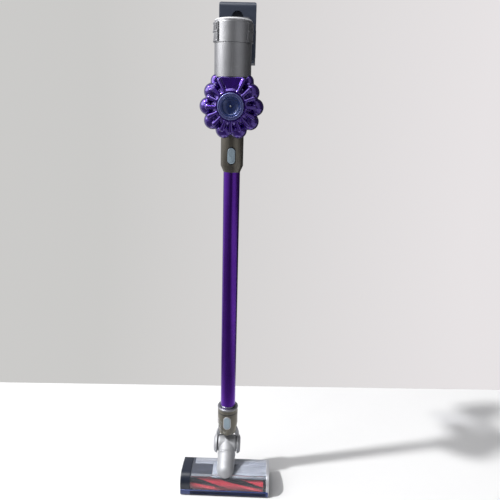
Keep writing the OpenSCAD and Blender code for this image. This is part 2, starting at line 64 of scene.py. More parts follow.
class Tree:
    """A short way to add and join shader nodes."""

    def __init__(self, name):
        self.material = bpy.data.materials.new(name)
        self.material.use_nodes = True
        self.nodes = self.material.node_tree.nodes
        self.links = self.material.node_tree.links
        self.shader = self.nodes["Principled BSDF"]
        self.coords = self.nodes.new("ShaderNodeTexCoord").outputs["Object"]

    def join(self, source, target):
        self.links.new(source, target)

    def stretched(self, scale):
        node = self.nodes.new("ShaderNodeMapping")
        node.inputs["Scale"].default_value = scale
        self.join(self.coords, node.inputs["Vector"])
        return node.outputs["Vector"]

    def noise(self, scale, detail=4.0, rough=0.55, stretch=None):
        node = self.nodes.new("ShaderNodeTexNoise")
        node.inputs["Scale"].default_value = scale
        node.inputs["Detail"].default_value = detail
        node.inputs["Roughness"].default_value = rough
        self.join(self.stretched(stretch) if stretch else self.coords, node.inputs["Vector"])
        return node.outputs["Fac"]

    def remap(self, value, low, high, to_low=0.0, to_high=1.0):
        node = self.nodes.new("ShaderNodeMapRange")
        for key, number in (("From Min", low), ("From Max", high), ("To Min", to_low), ("To Max", to_high)):
            node.inputs[key].default_value = number
        self.join(value, node.inputs["Value"])
        return node.outputs["Result"]

    def mix(self, amount, first, second):
        node = self.nodes.new("ShaderNodeMix")
        node.data_type = "RGBA"
        self.join(amount, node.inputs["Factor"])
        for socket, value in ((node.inputs[6], first), (node.inputs[7], second)):
            if isinstance(value, tuple):
                socket.default_value = (*value, 1.0)
            else:
                self.join(value, socket)
        return node.outputs[2]

    def math(self, operation, first, second):
        node = self.nodes.new("ShaderNodeMath")
        node.operation = operation
        for socket, value in zip(node.inputs, (first, second)):
            if isinstance(value, float):
                socket.default_value = value
            else:
                self.join(value, socket)
        return node.outputs[0]

    def bump(self, height, strength, distance=0.0002):
        node = self.nodes.new("ShaderNodeBump")
        node.inputs["Strength"].default_value = strength
        node.inputs["Distance"].default_value = distance
        self.join(height, node.inputs["Height"])
        self.join(node.outputs["Normal"], self.shader.inputs["Normal"])

    def edges(self):
        node = self.nodes.new("ShaderNodeNewGeometry")
        return self.remap(node.outputs["Pointiness"], 0.52, 0.62)


def linear(rgb):
    """An sRGB colour, 0 to 255, as the linear colour that a shader takes."""
    return tuple((c / 255 / 12.92) if c <= 10 else ((c / 255 + 0.055) / 1.055) ** 2.4 for c in rgb)


def plastic(name, rgb, second, rough=0.4, coat=0.0, grain=900, grain_strength=0.25, metal=0.0, flake=False,
            coat_ior=1.5):
    """Moulded or lacquered plastic: drifting colour, a moulded grain, fine scuffs and paler rubbed edges."""
    t = Tree(name)
    base, other = linear(rgb), linear(second)
    drift = t.remap(t.noise(14, 3), 0.3, 0.7)
    colour = t.mix(drift, base, other)
    scuff = t.remap(t.noise(60, 6, 0.7, (1, 1, 6)), 0.60, 0.72)
    paler = tuple(min(1.0, c * 1.5 + 0.015) for c in base)
    colour = t.mix(t.math("MULTIPLY", scuff, 0.35), colour, paler)
    colour = t.mix(t.math("MULTIPLY", t.edges(), 0.5), colour, paler)
    if flake:
        sparkle = t.remap(t.noise(5200, 1), 0.62, 0.75)
        colour = t.mix(t.math("MULTIPLY", sparkle, 0.5), colour, tuple(min(1.0, c * 2 + 0.05) for c in base))
    t.join(colour, t.shader.inputs["Base Color"])
    t.join(t.remap(t.noise(120, 5), 0.3, 0.7, rough * 0.92, rough * 1.1), t.shader.inputs["Roughness"])
    t.shader.inputs["Metallic"].default_value = metal
    t.shader.inputs["Coat Weight"].default_value = coat
    t.shader.inputs["Coat Roughness"].default_value = 0.08
    t.shader.inputs["Coat IOR"].default_value = coat_ior
    t.bump(t.noise(grain, 3), grain_strength, 0.00006)
    return t.material


def brushed(name, rgb, second, rough=0.3, stretch=(1, 1, 0.02), coat=0.0, metal=1.0, lines=900):
    """Drawn or turned metal: fine lines along one direction over drifting tone."""
    t = Tree(name)
    drift = t.remap(t.noise(9, 3), 0.3, 0.7)
    colour = t.mix(drift, linear(rgb), linear(second))
    line = t.noise(lines, 4, 0.6, stretch)
    colour = t.mix(t.remap(line, 0.35, 0.75, 0.0, 0.35), colour, tuple(c * 0.6 for c in linear(rgb)))
    t.join(colour, t.shader.inputs["Base Color"])
    t.join(t.remap(line, 0.3, 0.7, rough * 0.8, rough * 1.3), t.shader.inputs["Roughness"])
    t.shader.inputs["Metallic"].default_value = metal
    t.shader.inputs["Coat Weight"].default_value = coat
    t.bump(line, 0.12, 0.00005)
    return t.material


def glassy(name, rgb, rough=0.04, transmission=1.0, haze=0.0):
    """Clear moulded plastic with faint flow lines and smudges, and a share of pale haze."""
    t = Tree(name)
    flow = t.noise(30, 3, 0.5, (1, 4, 1))
    t.join(t.mix(t.remap(flow, 0.35, 0.7), linear(rgb), tuple(c * 0.93 for c in linear(rgb))),
           t.shader.inputs["Base Color"])
    t.join(t.remap(t.noise(45, 6), 0.45, 0.7, rough, rough + 0.10), t.shader.inputs["Roughness"])
    t.shader.inputs["Transmission Weight"].default_value = transmission
    t.shader.inputs["IOR"].default_value = 1.46
    t.bump(t.noise(70, 2), 0.04, 0.0002)
    surface = t.shader.outputs[0]
    if haze:
        milk = t.nodes.new("ShaderNodeBsdfDiffuse")
        milky = t.mix(t.remap(flow, 0.35, 0.7), linear((214, 216, 222)), linear((200, 203, 210)))
        t.join(milky, milk.inputs["Color"])
        clouded = t.nodes.new("ShaderNodeMixShader")
        clouded.inputs[0].default_value = haze
        t.join(surface, clouded.inputs[1])
        t.join(milk.outputs[0], clouded.inputs[2])
        surface = clouded.outputs[0]
    through = t.nodes.new("ShaderNodeBsdfTransparent")
    through.inputs["Color"].default_value = (0.93, 0.93, 0.94, 1)
    blend = t.nodes.new("ShaderNodeMixShader")
    t.join(t.nodes.new("ShaderNodeLightPath").outputs["Is Shadow Ray"], blend.inputs[0])
    t.join(surface, blend.inputs[1])
    t.join(through.outputs[0], blend.inputs[2])
    t.join(blend.outputs[0], t.nodes["Material Output"].inputs["Surface"])
    return t.material


def felt(name, rgb, second, scale=1400):
    """Matted fibres, for filters and seals."""
    t = Tree(name)
    t.join(t.mix(t.remap(t.noise(scale / 4, 6), 0.35, 0.65), linear(rgb), linear(second)),
           t.shader.inputs["Base Color"])
    t.join(t.remap(t.noise(scale, 4), 0.3, 0.7, 0.8, 0.98), t.shader.inputs["Roughness"])
    t.shader.inputs["Sheen Weight"].default_value = 0.3
    t.bump(t.noise(scale, 6), 0.6, 0.0003)
    return t.material


FINISH = {
    "dock_plastic": plastic("dock_plastic", (58, 66, 82), (48, 55, 70), 0.4, 0.25, 700, 0.15),
    # near-white rim finish: a painted highlight along the motor cap's rounded top edge
    "rim_painted_highlight": plastic("rim_painted_highlight", (232, 233, 236), (222, 224, 228), 0.3, 0.4, 1500, 0.03),
    "cap_plastic": plastic("cap_plastic", (34, 40, 56), (26, 32, 46), 0.34, 0.3, 800, 0.2),
    "pale_plastic": plastic("pale_plastic", (190, 191, 194), (188, 190, 197), 0.34, 0.2, 1500, 0.05, 0.4),
    "silver_plastic": plastic("silver_plastic", (172, 173, 176), (158, 159, 163), 0.4, 0.0, 1500, 0.02, 0.92),
    "grey_plastic": plastic("grey_plastic", (108, 110, 116), (96, 98, 104), 0.45),
    "dark_plastic": plastic("dark_plastic", (34, 35, 42), (26, 27, 33), 0.4),
    "bronze_plastic": plastic("bronze_plastic", (130, 126, 115), (112, 108, 100), 0.34, 0.0, 1500, 0.03, 0.9),
    "purple_lacquer": plastic("purple_lacquer", (66, 13, 148), (50, 7, 124), 0.22, 1.0, 1200, 0.02, 0.8,
                              coat_ior=1.65),
    "purple_anodised": brushed("purple_anodised", (112, 52, 186), (96, 38, 168), 0.24, (1, 1, 0.01), 0.2),
    "button_blue": plastic("button_blue", (156, 174, 186), (140, 158, 170), 0.34, 0.3, 900, 0.08, 0.1),
    "satin_silver": plastic("satin_silver", (186, 187, 190), (174, 176, 180), 0.6, 0.0, 1500, 0.02, 0.55),
    "cap_blue": plastic("cap_blue", (34, 54, 112), (26, 42, 94), 0.24, 0.8, 1200, 0.05, 0.3, True),
    "ring_blue": plastic("ring_blue", (118, 124, 182), (102, 110, 168), 0.26, 0.6, 1200, 0.05, 0.7, True),
    "clear_plastic": glassy("clear_plastic", (222, 226, 234)),
    "hazy_plastic": glassy("hazy_plastic", (222, 226, 234), 0.04, 1.0, 0.04),
    "red_plastic": plastic("red_plastic", (196, 28, 34), (170, 20, 28), 0.28, 0.6),
    "red_bristle": plastic("red_bristle", (250, 72, 84), (236, 54, 68), 0.5),
    "steel": brushed("steel", (188, 190, 194), (164, 166, 172), 0.28, (0.05, 1, 1)),
    "copper": brushed("copper", (196, 118, 62), (170, 96, 48), 0.35, (1, 1, 14)),
    "gold_contact": brushed("gold_contact", (212, 172, 84), (190, 150, 66), 0.25),
    "board": plastic("board", (22, 88, 48), (16, 70, 38), 0.35, 0.4, 500, 0.4),
    "cell_wrap": plastic("cell_wrap", (44, 92, 140), (36, 78, 124), 0.3, 0.3),
    "filter_felt": felt("filter_felt", (226, 226, 220), (204, 204, 196)),
    "lens": plastic("lens", (220, 232, 240), (206, 220, 230), 0.25, 0.6),
    "seal_rubber": felt("seal_rubber", (30, 30, 32), (22, 22, 24), 700),
}


# ---------------------------------------------------------------- geometry helpers

def add(name, mesh, body, slot, smooth_angle=35, look=None):
    """A mesh as a piece of a body, with a slot's finish or a look near it, shaded smooth."""
    piece = bpy.data.objects.new(name, mesh)
    bpy.context.scene.collection.objects.link(piece)
    mesh.materials.clear()
    mesh.materials.append(FINISH[look or slot])
    mesh.polygons.foreach_set("use_smooth", [True] * len(mesh.polygons))
    mesh.set_sharp_from_angle(angle=math.radians(smooth_angle))
    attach(piece, body)
    return piece


def bevelled(piece, width, segments=3):
    """Rounds a piece's hard edges."""
    step = piece.modifiers.new("Round", "BEVEL")
    step.width = width
    step.segments = segments
    step.limit_method = "ANGLE"
    step.angle_limit = math.radians(30)
    step.use_clamp_overlap = True


def shell(node, width, look=None):
    """A clean, round-edged copy of a CAD node, which stands for it."""
    bm = bmesh.new()
    bm.from_mesh(frame["nodes"][node].data)
    bmesh.ops.remove_doubles(bm, verts=bm.verts, dist=2e-6)
    bmesh.ops.dissolve_limit(bm, angle_limit=math.radians(0.6), verts=bm.verts, edges=bm.edges)
    mesh = bpy.data.meshes.new(node + "_shell")
    bm.to_mesh(mesh)
    bm.free()
    if mesh.attributes.get("custom_normal"):
        mesh.attributes.remove(mesh.attributes["custom_normal"])
    piece = add(node + "_shell", mesh, BODY_OF[node], SLOT_OF[node], look=look)
    bevelled(piece, width)
    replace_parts(piece, node)
    return piece


def centre(node):
    low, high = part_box(node)
    return (low + high) / 2


def turn_matrix(origin, direction):
    """The frame whose +Z runs along direction from origin."""
    return Matrix.Translation(origin) @ Vector(direction).to_track_quat("Z", "Y").to_matrix().to_4x4()


def arc(cx, cy, r, start, end, steps=6):
    """Points of an arc between two angles in degrees."""
    return [(cx + r * math.cos(math.radians(start + (end - start) * i / steps)),
             cy + r * math.sin(math.radians(start + (end - start) * i / steps))) for i in range(steps + 1)]


def scaled(points):
    """Points in millimetres as metres."""
    return [(first * MM, second * MM) for first, second in points]


def lathe(profile, steps=96, closed=True):
    """A mesh turned about +Z from points (radius, height)."""
    bm = bmesh.new()
    rings = []
    turns = [math.tau * k / steps for k in range(steps)]
    for r, z in profile:
        on_axis = r <= 1e-6
        points = [(0, 0, z)] if on_axis else [(r * math.cos(a), r * math.sin(a), z) for a in turns]
        rings.append([bm.verts.new(point) for point in points])
    pairs = list(zip(rings, rings[1:])) + ([(rings[-1], rings[0])] if closed else [])
    for low, high in pairs:
        for k in range(steps):
            n = (k + 1) % steps
            face = [low[k % len(low)], low[n % len(low)], high[n % len(high)], high[k % len(high)]]
            unique = list(dict.fromkeys(face))
            if len(unique) > 2:
                bm.faces.new(unique)
    bmesh.ops.recalc_face_normals(bm, faces=bm.faces)
    mesh = bpy.data.meshes.new("turned")
    bm.to_mesh(mesh)
    bm.free()
    return mesh


def turned(name, profile, origin, direction, body, slot, steps=96, closed=True, look=None):
    mesh = lathe(profile, steps, closed)
    mesh.transform(turn_matrix(origin, direction))
    return add(name, mesh, body, slot, look=look)


def joined(meshes, name):
    """One mesh from several, which are then dropped."""
    bm = bmesh.new()
    for mesh in meshes:
        bm.from_mesh(mesh)
        bpy.data.meshes.remove(mesh)
    result = bpy.data.meshes.new(name)
    bm.to_mesh(result)
    bm.free()
    return result


def capsule(start, end, r1, r2, steps=24):
    """A closed rod from start to end with round ends, thicker at one end if the radii differ."""
    a, b = Vector(start), Vector(end)
    length = (b - a).length
    tilt = math.degrees(math.asin(max(-1, min(1, (r1 - r2) / max(length, 1e-6)))))
    low = arc(0, 0, r1, -90, tilt, 8)
    high = arc(0, length, r2, tilt, 90, 8)
    mesh = lathe([(max(x, 0), y) for x, y in low + high], steps, closed=False)
    mesh.transform(turn_matrix(a, b - a))
    return mesh


def solid(quads):
    """A closed mesh from lists of corner points, one list a face, shared corners merged."""
    bm = bmesh.new()
    for corners in quads:
        bm.faces.new([bm.verts.new(c) for c in corners])
    bmesh.ops.remove_doubles(bm, verts=bm.verts, dist=1e-7)
    bmesh.ops.recalc_face_normals(bm, faces=bm.faces)
    mesh = bpy.data.meshes.new("solid")
    bm.to_mesh(mesh)
    bm.free()
    return mesh


def between(rings):
    """A closed mesh from two matching outlines and the quads that join them."""
    near, far = rings
    count = len(near)
    sides = [[near[k], near[(k + 1) % count], far[(k + 1) % count], far[k]] for k in range(count)]
    return solid(rings + sides)


def hull_of(points):
    bm = bmesh.new()
    for point in points:
        bm.verts.new(point)
    bmesh.ops.convex_hull(bm, input=bm.verts)
    mesh = bpy.data.meshes.new("hull")
    bm.to_mesh(mesh)
    bm.free()
    return mesh


def bent_block(centre_at, r, angles, z, steps=12):
    """A block bent round an upright axis: two radii, two angles in degrees, two heights in metres."""
    rows = []
    for k in range(steps + 1):
        a = math.radians(angles[0] + (angles[1] - angles[0]) * k / steps)
        ahead = Vector((math.cos(a), math.sin(a), 0))
        rows.append([centre_at + ahead * radius + Vector((0, 0, height))
                     for radius, height in ((r[0], z[0]), (r[1], z[0]), (r[1], z[1]), (r[0], z[1]))])
    faces = [rows[0], rows[-1]]
    for low, high in zip(rows, rows[1:]):
        faces += [[low[k], low[(k + 1) % 4], high[(k + 1) % 4], high[k]] for k in range(4)]
    return solid(faces)


def box_mesh(low, high):
    (a, b, c), (d, e, f) = low, high
    return hull_of([(x, y, z) for x in (a, d) for y in (b, e) for z in (c, f)])


def made(mesh, steps):
    """The mesh that a stack of modifiers, (type, settings) each, makes of a mesh."""
    holder = bpy.data.objects.new("holder", mesh)
    bpy.context.scene.collection.objects.link(holder)
    for kind, settings in steps:
        step = holder.modifiers.new(kind, kind)
        for key, value in settings.items():
            setattr(step, key, value)
    bpy.context.view_layer.update()
    graph = bpy.context.evaluated_depsgraph_get()
    result = bpy.data.meshes.new_from_object(holder.evaluated_get(graph))
    bpy.data.objects.remove(holder)
    return result


def carved(mesh, cutter):
    """A mesh with another taken out of it."""
    tool = bpy.data.objects.new("tool", cutter)
    bpy.context.scene.collection.objects.link(tool)
    result = made(mesh, [("BOOLEAN", {"object": tool, "operation": "DIFFERENCE", "solver": "EXACT"})])
    bpy.data.objects.remove(tool)
    return result


def melted(meshes, voxel, rounds=4):
    """One smooth skin round several overlapping closed meshes."""
    return made(joined(meshes, "melt"), [
        ("REMESH", {"mode": "VOXEL", "voxel_size": voxel, "use_smooth_shade": True}),
        ("SMOOTH", {"factor": 0.5, "iterations": rounds})])


# ---------------------------------------------------------------- where things are

WALL_GAP = -centre("wand_tube").y
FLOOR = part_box("rear_wheels")[0].z
MOTOR = centre("top_cap")
MOTOR_R = (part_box("motor_housing")[1].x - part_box("motor_housing")[0].x) / 2
BRUSH = centre("brush_core")


def at(x, y, z):
    """A point from millimetres: right of the wand, towards the wall from it, and up from the floor."""
    return Vector((x * MM, y * MM - WALL_GAP, FLOOR + z * MM))


# heights in millimetres above the floor of the cyclones' axis and of the neck's yoke
CYCLONE_Z = 868
YOKE_Z = 78
BRUSH_Y, BRUSH_Z = (BRUSH.y - at(0, 0, 0).y) / MM, (BRUSH.z - at(0, 0, 0).z) / MM


# ---------------------------------------------------------------- camera, light and floor

CAMERA_AT = (0.0575, -1.163, -0.1548)
CAMERA_PITCH, CAMERA_YAW, CAMERA_ROLL = 15.92, -0.85, 1.60
CAMERA_LENS = 34.96


def camera():
    """A camera a metre in front of the wand, somewhat below the cleaner's top, looking down a little."""
    pitch, yaw, roll = (math.radians(a) for a in (CAMERA_PITCH, CAMERA_YAW, CAMERA_ROLL))
    data = bpy.data.cameras.new("camera")
    data.lens = CAMERA_LENS
    data.sensor_width = 36
    eye = bpy.data.objects.new("camera", data)
    bpy.context.scene.collection.objects.link(eye)
    ahead = Vector((math.sin(yaw) * math.cos(pitch), math.cos(yaw) * math.cos(pitch), -math.sin(pitch)))
    level = Vector((math.cos(yaw), -math.sin(yaw), 0))
    lift = level.cross(ahead)
    right = math.cos(roll) * level + math.sin(roll) * lift
    up = -math.sin(roll) * level + math.cos(roll) * lift
    turn = Matrix((right, up, -ahead)).transposed().to_4x4()
    eye.matrix_world = Matrix.Translation(CAMERA_AT) @ turn
    bpy.context.scene.camera = eye


def softbox(name, place, aim, size, power, tint=(1, 1, 1)):
    """A rectangular lamp at a place, facing a point."""
    data = bpy.data.lights.new(name, "AREA")
    data.shape = "RECTANGLE"
    data.size, data.size_y = size
    data.energy = power
    data.color = tint
    lamp = bpy.data.objects.new(name, data)
    bpy.context.scene.collection.objects.link(lamp)
    lamp.matrix_world = turn_matrix(Vector(place), Vector(place) - Vector(aim))


def surroundings():
    """A pale room, light and dark by direction round it in reflections only, a wall seen behind the cleaner
    with painted light, lighter to the right, and its lamps.
    """
    world = bpy.data.worlds.new("room")
    bpy.context.scene.world = world
    world.use_nodes = True
    nodes, links = world.node_tree.nodes, world.node_tree.links
    background = nodes["Background"]
    wall_painted_light = nodes.new("ShaderNodeBackground")
    background.inputs["Strength"].default_value = 0.72
    coords = nodes.new("ShaderNodeTexCoord")
    split = nodes.new("ShaderNodeSeparateXYZ")
    links.new(coords.outputs["Generated"], split.inputs[0])
    # the wall the camera sees is painted lighter towards the right: painted light and shade on the backdrop
    wall = nodes.new("ShaderNodeValToRGB")
    wall.color_ramp.elements[0].color = (0.60, 0.595, 0.585, 1)
    wall.color_ramp.elements[1].color = (0.80, 0.77, 0.78, 1)
    across = nodes.new("ShaderNodeMapRange")
    across.inputs["From Min"].default_value = -0.3
    across.inputs["From Max"].default_value = 0.4
    links.new(split.outputs["X"], across.inputs["Value"])
    links.new(across.outputs["Result"], wall.inputs["Fac"])
    links.new(wall.outputs["Color"], wall_painted_light.inputs["Color"])
    turn = nodes.new("ShaderNodeMath")
    turn.operation = "ARCTAN2"
    back = nodes.new("ShaderNodeMath")
    back.operation = "MULTIPLY"
    back.inputs[1].default_value = -1.0
    links.new(split.outputs["Y"], back.inputs[0])
    links.new(split.outputs["X"], turn.inputs[0])
    links.new(back.outputs[0], turn.inputs[1])
    round_room = nodes.new("ShaderNodeMapRange")
    round_room.inputs["From Min"].default_value = -math.pi
    round_room.inputs["From Max"].default_value = math.pi
    links.new(turn.outputs[0], round_room.inputs["Value"])
    ramp = nodes.new("ShaderNodeValToRGB")
    tones = ((0.0, 0.45), (0.22, 1.0), (0.38, 0.6), (0.44, 0.2), (0.497, 0.07), (0.53, 0.14), (0.57, 0.62),
             (0.66, 0.52), (0.72, 0.10), (0.9, 0.07), (1.0, 0.2))
    for place, tone in tones[1:-1]:
        ramp.color_ramp.elements.new(place)
    for element, (place, tone) in zip(ramp.color_ramp.elements, tones):
        element.position = place
        element.color = (tone, tone, tone * 1.03, 1)
    links.new(round_room.outputs["Result"], ramp.inputs["Fac"])
    links.new(ramp.outputs["Color"], background.inputs["Color"])
    ray = nodes.new("ShaderNodeLightPath")
    blend = nodes.new("ShaderNodeMixShader")
    links.new(ray.outputs["Is Camera Ray"], blend.inputs[0])
    links.new(background.outputs[0], blend.inputs[1])
    links.new(wall_painted_light.outputs[0], blend.inputs[2])
    links.new(blend.outputs[0], nodes["World Output"].inputs["Surface"])
    sun = bpy.data.lights.new("key", "SUN")
    sun.energy = 2.5
    sun.angle = math.radians(3.0)
    lamp = bpy.data.objects.new("key", sun)
    bpy.context.scene.collection.objects.link(lamp)
    lamp.matrix_world = turn_matrix(Vector((-2, -1, 2)), (-0.974, -0.225, 1.28))
    softbox("left", (-1.15, -0.38, 0.5), (0, -0.15, -0.12), (1.0, 1.1), 10, (1, 0.985, 0.97))
    softbox("top", (-0.3, -0.6, 1.5), (0, -0.2, 0), (1.0, 1.0), 10)
    softbox("glint", (-0.75, -1.0, 0.45), (0, -0.15, -0.15), (0.1, 0.12), 0.8)


def floor():
    """A pale floor with its far edge a little askew, which looks dark in reflections away from the head."""
    level = FLOOR - 0.0002
    reach_of = 3.0
    edge = ((-reach_of, 0.12), (reach_of, 0.35))
    mesh = bpy.data.meshes.new("floor")
    mesh.from_pydata([(*edge[0], level), (-reach_of, -reach_of, level), (reach_of, -reach_of, level),
                      (*edge[1], level)], [], [(0, 1, 2, 3)])
    ground = bpy.data.objects.new("floor", mesh)
    bpy.context.scene.collection.objects.link(ground)
    t = Tree("pale_floor")
    ray = t.nodes.new("ShaderNodeLightPath").outputs["Is Glossy Ray"]
    pale = t.mix(t.noise(3, 2), (0.85, 0.85, 0.85), (0.88, 0.88, 0.88))
    reach = t.nodes.new("ShaderNodeVectorMath")
    reach.operation = "LENGTH"
    t.join(t.stretched((1, 1, 0)), reach.inputs[0])
    split = t.nodes.new("ShaderNodeSeparateXYZ")
    t.join(t.coords, split.inputs[0])
    far = t.mix(t.remap(split.outputs["X"], 0.35, 0.8), (0.08, 0.08, 0.09), (0.55, 0.55, 0.56))
    t.join(t.mix(t.math("MULTIPLY", ray, t.remap(reach.outputs["Value"], 0.22, 0.5)), pale, far),
           t.shader.inputs["Base Color"])
    t.shader.inputs["Roughness"].default_value = 0.55
    ground.data.materials.append(t.material)


bpy.context.scene.view_settings.view_transform = "Standard"
camera()
surroundings()
floor()

# ---------------------------------------------------------------- finishes on the CAD pieces that show

for node in frame["nodes"]:
    frame["nodes"][node].data.materials.clear()
    frame["nodes"][node].data.materials.append(FINISH[SLOT_OF[node]])

# ---------------------------------------------------------------- cyclones

def cyclone_skin():
    """The flower of outer cyclones: a core, eight rounded heads, the ridges over them and the duct panel."""
    def spot(degrees, radius, depth):
        a = math.radians(degrees)
        return at(radius * math.cos(a), depth, CYCLONE_Z + radius * math.sin(a))

    meshes = []
    profile = [(15.8, -66), (27.5, -66), (29.5, -65), (35, -58.5), (39, -50), (40, -26), (45.8, -25),
               (45.8, -20.3), (15.8, -20.3)]
    core = lathe(scaled(profile), 144)
    core.transform(turn_matrix(at(0, 0, CYCLONE_Z), (0, 1, 0)))
    meshes.append(core)
    for place in range(4, 12):
        turn = place * 36
        meshes.append(capsule(spot(turn, 45, -42), spot(turn, 40, -32.5), 16.8 * MM, 12.2 * MM, 40))
    for finger in range(15):
        turn = 64 - 22 * finger
        long = finger in (0, 14)
        meshes.append(capsule(spot(turn, 28.5, -64), spot(turn, 53 if long else 45, -55.5 if long else -56.6),
                              3.1 * MM, (4.3 if long else 5.0) * MM, 20))
    for side in (-1, 1):
        shoulder = capsule(at(side * 30.5, -33, 905), at(side * 29.5, -31, 915.5), 11.5 * MM, 12 * MM, 40)
        clear_r = MOTOR_R / MM + 0.25
        housing = turned_mesh([(0, 921.6), (clear_r, 921.6), (clear_r, 940), (0, 940)],
                              at(0, 0, 0) + Vector((0, MOTOR.y - at(0, 0, 0).y, 0)))
        meshes.append(carved(shoulder, housing))
    meshes.append(hull_of([at(side * w, y, z) for side in (-1, 1) for w, y, z in (
        (6.5, -64, 895), (22, -54.4, 921.4), (22, -24, 921.4), (8, -24, 888))]))
    return melted(meshes, 0.00075, 4)


def turned_mesh(profile, foot):
    """An upright closed lathe mesh from (radius, height) in millimetres, standing at foot."""
    mesh = lathe(scaled(profile), 96, closed=False)
    mesh.transform(Matrix.Translation(foot))
    return mesh


# ---------------------------------------------------------------- motor and filter cap

def motor_details():
    """The exhaust housing as a front panel and side panels with gaps, and ribbed vents on both sides."""
    middle = at(0, -20, 0)
    wall = (33.2 * MM, 35.5 * MM)
    parts = [bent_block(middle, wall, span, (982.3 * MM, 1018 * MM), 24)
             for span in ((-134, -46), (-135 - 90, -135), (-45, 45), (46, 134))]
    panels = piece_of("exhaust_panels", parts, "cleaner", "silver_plastic", 0.5)
    lining = lathe(scaled([(32.4, 981), (33.1, 981), (33.1, 1018), (32.4, 1018)]))
    lining.transform(Matrix.Translation(middle))
    dark = [lining]
    bright = []
    for side in (0, 180):
        span = (side - 42, side + 42)
        dark.append(bent_block(middle, (35.6 * MM, 36.3 * MM), span, (986 * MM, 1016 * MM), 20))
        for low, high, outer in ((984.6, 986.8, 38.4), (1001.2, 1003.4, 38.9), (1015.2, 1017.6, 38.4)):
            bright.append(bent_block(middle, (35.7 * MM, outer * MM), span, (low * MM, high * MM), 20))
        for edge in (span[0], span[1] - 1.6):
            post = (edge, edge + 1.6)
            bright.append(bent_block(middle, (35.7 * MM, 38.2 * MM), post, (986 * MM, 1016 * MM), 2))
        rib_count = 12
        for k in range(rib_count):
            turn = span[0] + 3.2 + k * 78 / rib_count
            upper, lower = (turn, turn + 3.2), (turn, turn + 4.6)
            bright.append(bent_block(middle, (36 * MM, 38.1 * MM), upper, (1003 * MM, 1015.6 * MM), 2))
            if k not in (5, 6):
                bright.append(bent_block(middle, (36 * MM, 37.6 * MM), lower, (986 * MM, 1001.6 * MM), 2))
    piece_of("vent_backing", dark, "cleaner", "dark_plastic", 0)
    ribs = piece_of("vent_ribs", bright, "cleaner", "silver_plastic", 0.25)
    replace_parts(panels, "exhaust_housing")
    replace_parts(ribs, "vent_grilles")
    top = [(9.4, 1018), (35.5, 1018), (35.5, 1020.4), (34.9, 1021), (30.4, 1021), (30, 1022.8),
           (12.5, 1022.8), (12, 1024), (9.4, 1024)]
    rim = [(30.2, 1021), (34.9, 1021), (35.5, 1021.4)] + arc(33, 1021.5, 2.5, 0, 90, 8)
    rim += [(31, 1024), (30.5, 1023.4)]
    upward = (0, 0, 1)
    cap = turned("motor_top", scaled(top), middle, upward, "cleaner", "silver_plastic", 144)
    # the rounded top edge takes the near-white finish, a painted highlight
    turned("motor_rim", scaled(rim), middle, upward, "cleaner", "silver_plastic", 144, look="rim_painted_highlight")
    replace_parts(cap, "top_cap")


def piece_of(name, meshes, body, slot, width, look=None):
    """One piece from several closed meshes, its edges rounded by width in millimetres."""
    piece = add(name, joined(meshes, name), body, slot, look=look)
    if width:
        bevelled(piece, width * MM, 2)
    return piece


def filter_face():
    """The filter's cap, a dished disc with a small steel dome in its middle that is there only to catch a
    highlight, and the ring round it.
    """
    foot = at(0, 0, CYCLONE_Z)
    inner_lip = [(18.6, -66.4), (18.6, -77)] + arc(19.6, -77, 1, 180, 270, 4)
    groove = [(20.6, -78), (21, -77.4), (22, -77.4), (22.4, -78)]
    outer_lip = arc(22.9, -76.4, 1.6, 270, 360, 6)
    grip_line = [(24.5, -72), (24.5, -70.2), (23.9, -69.8), (23.9, -69), (24.5, -68.6), (24.5, -66.4)]
    ring = scaled(inner_lip + groove + outer_lip + grip_line)
    inward = (0, 1, 0)
    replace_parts(turned("filter_rim", ring, foot, inward, "filter", "ring_blue", 144), "filter_ring")
    dish = [(18.3, -66.4), (18.3, -77.2), (17.6, -77.8), (16.6, -77.4), (15.8, -75.4), (13.5, -73.6),
            (9, -72.3), (4.2, -71.8), (2.2, -71.7), (0, -71.7)]
    stem = [(0, -56.2), (14.5, -56.2), (14.5, -66.4)]
    bowl = turned("filter_dish", scaled(stem + dish), foot, inward, "filter", "cap_blue", 144, closed=False)
    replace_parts(bowl, "filter_cap")
    # a small steel dome at the dish's centre, put there only to make the highlight the cap shows at its
    # middle
    pin = [(0, -71.4), (2.3, -71.4)] + arc(0, -71.9, 2.3, 0, -90, 6)
    turned("filter_highlight_dome", scaled(pin), foot, inward, "filter", "steel", 32, closed=False)
    pleats = []
    pleat_count = 48
    crest, valley, core = 14.3 * MM, 12.4 * MM, 9.2 * MM
    for k in range(pleat_count):
        a, b, c = (math.tau * (k + d) / pleat_count for d in (0, 0.5, 1))
        corners = [(crest, a), (valley, b), (crest, c), (core, c), (core, b), (core, a)]
        pleats.append(hull_fan(corners, foot, -56 * MM, 38 * MM))
    sleeve = add("filter_pleats", joined(pleats, "filter_pleats"), "filter", "filter_felt")
    ends = [turned_y([(9.1, low), (14.6, low), (14.6, low + 2), (9.1, low + 2)], foot) for low in (-56, 38)]
    piece_of("filter_ends", ends, "filter", "cap_blue", 0.3)
    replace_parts(sleeve, "filter_element")


def hull_fan(corners, foot, near, far):
    """A prism along +Y from (radius, angle) corners round an axis through foot."""
    rings = [[foot + Vector((r * math.cos(a), y, r * math.sin(a))) for r, a in corners] for y in (near, far)]
    return between(rings)


def turned_y(profile, foot):
    """A closed lathe mesh about +Y from (radius, depth) in millimetres, about foot."""
    mesh = lathe(scaled(profile))
    mesh.transform(turn_matrix(foot, (0, 1, 0)))
    return mesh


# ---------------------------------------------------------------- neck and floor head

def bullet_frame():
    """Where the bullet's axis starts, and the way it runs."""
    drop = math.radians(26)
    return at(0, 0, YOKE_Z), Vector((0, -math.cos(drop), -math.sin(drop)))


